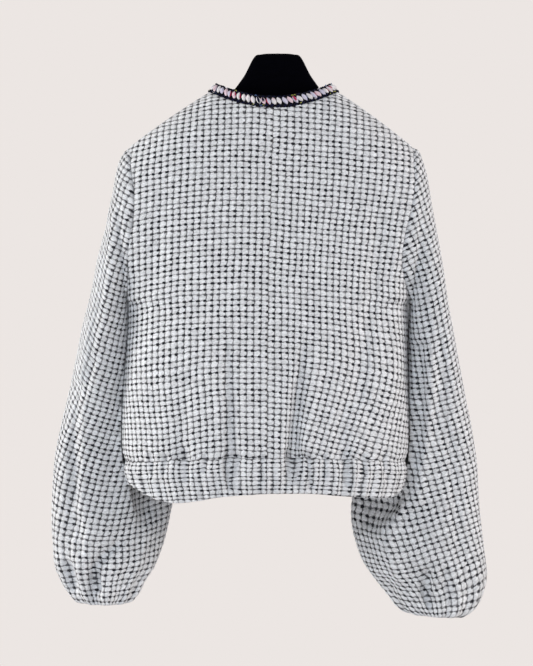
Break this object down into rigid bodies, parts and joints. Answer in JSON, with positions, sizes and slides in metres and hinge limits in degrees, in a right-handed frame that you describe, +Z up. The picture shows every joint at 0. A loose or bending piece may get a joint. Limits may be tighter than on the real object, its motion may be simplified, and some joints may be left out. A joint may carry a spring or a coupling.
{
  "type": "cropped tweed jacket on a hanger",
  "caption": "Collarless cropped tweed jacket with a braided round neck, balloon sleeves drawn into narrow cuffs and a gathered elastic waistband, on a broad padded hanger.",
  "frame": {"origin": "top of the hanger's neck, at the mouth of the hook's socket, where the hanger is held", "axes": "+Z up, -Y the way the jacket's front faces, +X the wearer's left"},
  "size_m": [0.5955, 0.2121, 0.7655],
  "materials": {
    "tweed": "puffy white ribbon tweed with fine black yarns",
    "braid": "looped braid in white, lavender, red, navy and olive yarns with navy edges",
    "velvet": "black flocked velvet"
  },
  "bodies": {
    "root": {"back_left": "tweed", "back_right": "tweed", "front_left": "tweed", "front_right": "tweed", "waistband_back": "tweed", "waistband_front_left": "tweed", "waistband_front_right": "tweed", "sleeve_outer_left": "tweed", "sleeve_under_left": "tweed", "sleeve_outer_right": "tweed", "sleeve_under_right": "tweed", "cuff_left": "tweed", "cuff_right": "tweed", "neck_braid": "braid", "hanger": "velvet"}
  },
  "joints": []
}
